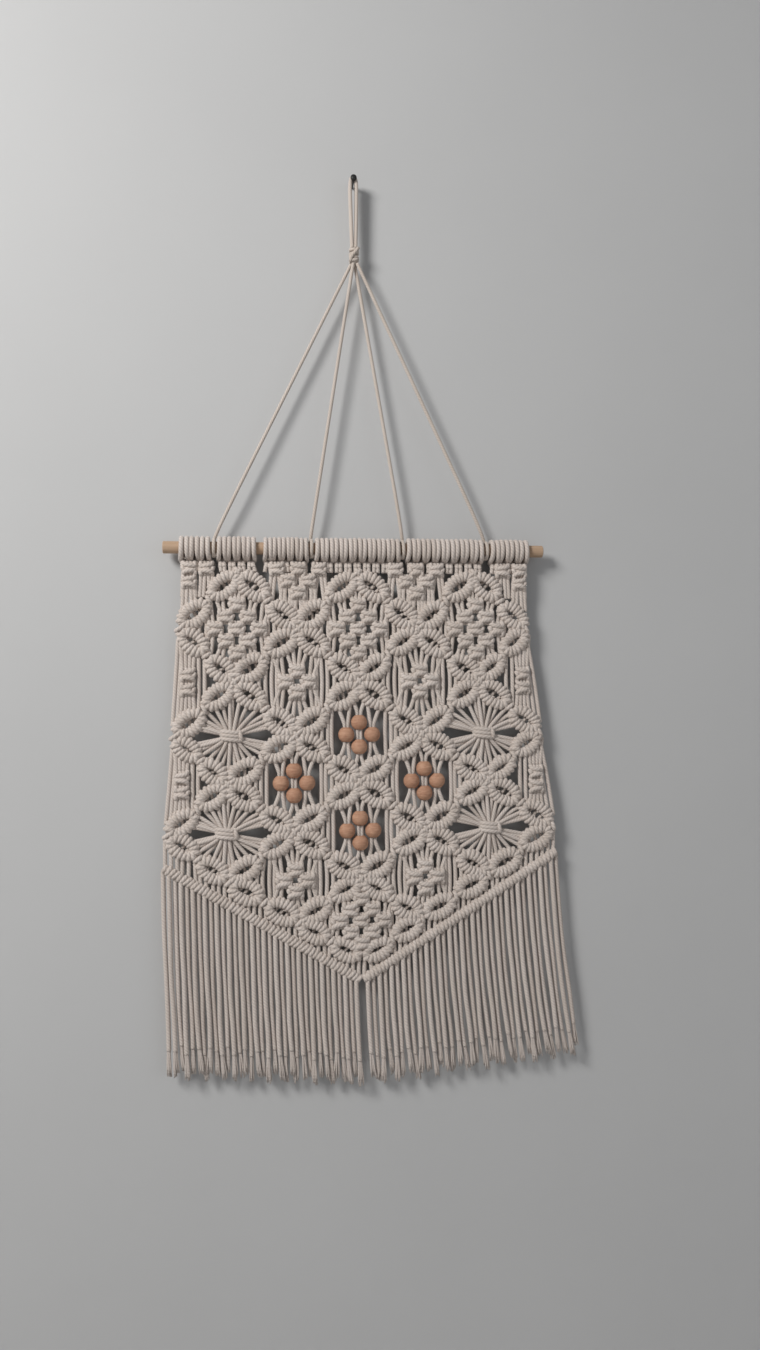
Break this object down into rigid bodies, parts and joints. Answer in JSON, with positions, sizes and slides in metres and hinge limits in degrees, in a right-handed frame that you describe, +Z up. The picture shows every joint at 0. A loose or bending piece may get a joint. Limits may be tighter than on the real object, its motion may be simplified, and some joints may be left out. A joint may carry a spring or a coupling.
{
  "type": "macrame wall hanging",
  "caption": "Knotted cotton wall hanging on a round wooden dowel: corded hanger, lattice panel of knotted leaves and nets with wooden beads, V-shaped lower border and fringe.",
  "frame": {"origin": "point where the nail bears on the inside of the hanger's loop", "axes": "+Z up, the front faces -Y, the wall is at +Y, +X to the right seen from the front"},
  "size_m": [0.4104, 0.02, 0.904],
  "materials": {
    "cotton_cord": "matte twisted cotton",
    "hanger_rope": "matte twisted cotton",
    "dowel_wood": "bare pale wood, fine grain",
    "bead_wood": "bare wood, fine grain"
  },
  "bodies": {
    "hanger": {"hanger_loops": "hanger_rope", "hanger_knot": "hanger_rope", "hanger_rope_1": "hanger_rope", "hanger_rope_2": "hanger_rope", "hanger_rope_3": "hanger_rope", "hanger_rope_4": "hanger_rope", "rope_hitches": "hanger_rope"},
    "rod": {"dowel": "dowel_wood"},
    "panel": {"larks_head_knots": "cotton_cord", "header_strands": "cotton_cord", "header_nets": "cotton_cord", "leaf_row_1": "cotton_cord", "leaf_row_2": "cotton_cord", "leaf_row_3": "cotton_cord", "leaf_row_4": "cotton_cord", "leaf_row_5": "cotton_cord", "leaf_row_6": "cotton_cord", "leaf_row_7": "cotton_cord", "leaf_row_8": "cotton_cord", "knot_nets": "cotton_cord", "open_cluster_knots": "cotton_cord", "open_cluster_strands": "cotton_cord", "sheaf_knots": "cotton_cord", "sheaf_strands": "cotton_cord", "bead_cell_strands": "cotton_cord", "bead_cords_1": "cotton_cord", "bead_cords_2": "cotton_cord", "bead_cords_3": "cotton_cord", "bead_cords_4": "cotton_cord", "edge_sinnets": "cotton_cord", "edge_strands": "cotton_cord", "border_left": "cotton_cord", "border_right": "cotton_cord", "border_strands": "cotton_cord"},
    "fringe_left_side": {"fringe_left": "cotton_cord"},
    "fringe_right_side": {"fringe_right": "cotton_cord"},
    "bead_01_body": {"bead_01": "bead_wood"},
    "bead_02_body": {"bead_02": "bead_wood"},
    "bead_03_body": {"bead_03": "bead_wood"},
    "bead_04_body": {"bead_04": "bead_wood"},
    "bead_05_body": {"bead_05": "bead_wood"},
    "bead_06_body": {"bead_06": "bead_wood"},
    "bead_07_body": {"bead_07": "bead_wood"},
    "bead_08_body": {"bead_08": "bead_wood"},
    "bead_09_body": {"bead_09": "bead_wood"},
    "bead_10_body": {"bead_10": "bead_wood"},
    "bead_11_body": {"bead_11": "bead_wood"},
    "bead_12_body": {"bead_12": "bead_wood"},
    "bead_13_body": {"bead_13": "bead_wood"},
    "bead_14_body": {"bead_14": "bead_wood"},
    "bead_15_body": {"bead_15": "bead_wood"},
    "bead_16_body": {"bead_16": "bead_wood"}
  },
  "joints": [
    {"name": "rod_turn", "type": "hinge", "parent": "hanger", "child": "rod", "pos_m": [0, 0, -0.378], "axis": [1, 0, 0], "continuous": true},
    {"name": "panel_swing", "type": "hinge", "parent": "hanger", "child": "panel", "pos_m": [0, 0, -0.378], "axis": [-1, 0, 0], "range_deg": [0, 40]},
    {"name": "fringe_left_swing", "type": "hinge", "parent": "panel", "child": "fringe_left_side", "pos_m": [0, 0, -0.801], "axis": [-0.8567, 0, 0.5158], "range_deg": [0, 20]},
    {"name": "fringe_right_swing", "type": "hinge", "parent": "panel", "child": "fringe_right_side", "pos_m": [0, 0, -0.801], "axis": [-0.8567, 0, -0.5158], "range_deg": [0, 20]},
    {"name": "bead_01_turn", "type": "hinge", "parent": "panel", "child": "bead_01_body", "pos_m": [0, 0, -0.55], "axis": [0, 0, 1], "range_deg": [-90, 90]},
    {"name": "bead_02_turn", "type": "hinge", "parent": "panel", "child": "bead_02_body", "pos_m": [-0.0128, 0, -0.562], "axis": [0, 0, 1], "range_deg": [-90, 90]},
    {"name": "bead_03_turn", "type": "hinge", "parent": "panel", "child": "bead_03_body", "pos_m": [0.0128, 0, -0.562], "axis": [0, 0, 1], "range_deg": [-90, 90]},
    {"name": "bead_04_turn", "type": "hinge", "parent": "panel", "child": "bead_04_body", "pos_m": [0, 0, -0.574], "axis": [0, 0, 1], "range_deg": [-90, 90]},
    {"name": "bead_05_turn", "type": "hinge", "parent": "panel", "child": "bead_05_body", "pos_m": [-0.0645, 0, -0.5965], "axis": [0, 0, 1], "range_deg": [-90, 90]},
    {"name": "bead_06_turn", "type": "hinge", "parent": "panel", "child": "bead_06_body", "pos_m": [-0.0773, 0, -0.6085], "axis": [0, 0, 1], "range_deg": [-90, 90]},
    {"name": "bead_07_turn", "type": "hinge", "parent": "panel", "child": "bead_07_body", "pos_m": [-0.0517, 0, -0.6085], "axis": [0, 0, 1], "range_deg": [-90, 90]},
    {"name": "bead_08_turn", "type": "hinge", "parent": "panel", "child": "bead_08_body", "pos_m": [-0.0645, 0, -0.6205], "axis": [0, 0, 1], "range_deg": [-90, 90]},
    {"name": "bead_09_turn", "type": "hinge", "parent": "panel", "child": "bead_09_body", "pos_m": [0.0645, 0, -0.5965], "axis": [0, 0, 1], "range_deg": [-90, 90]},
    {"name": "bead_10_turn", "type": "hinge", "parent": "panel", "child": "bead_10_body", "pos_m": [0.0517, 0, -0.6085], "axis": [0, 0, 1], "range_deg": [-90, 90]},
    {"name": "bead_11_turn", "type": "hinge", "parent": "panel", "child": "bead_11_body", "pos_m": [0.0773, 0, -0.6085], "axis": [0, 0, 1], "range_deg": [-90, 90]},
    {"name": "bead_12_turn", "type": "hinge", "parent": "panel", "child": "bead_12_body", "pos_m": [0.0645, 0, -0.6205], "axis": [0, 0, 1], "range_deg": [-90, 90]},
    {"name": "bead_13_turn", "type": "hinge", "parent": "panel", "child": "bead_13_body", "pos_m": [0, 0, -0.644], "axis": [0, 0, 1], "range_deg": [-90, 90]},
    {"name": "bead_14_turn", "type": "hinge", "parent": "panel", "child": "bead_14_body", "pos_m": [-0.0128, 0, -0.656], "axis": [0, 0, 1], "range_deg": [-90, 90]},
    {"name": "bead_15_turn", "type": "hinge", "parent": "panel", "child": "bead_15_body", "pos_m": [0.0128, 0, -0.656], "axis": [0, 0, 1], "range_deg": [-90, 90]},
    {"name": "bead_16_turn", "type": "hinge", "parent": "panel", "child": "bead_16_body", "pos_m": [0, 0, -0.668], "axis": [0, 0, 1], "range_deg": [-90, 90]}
  ]
}
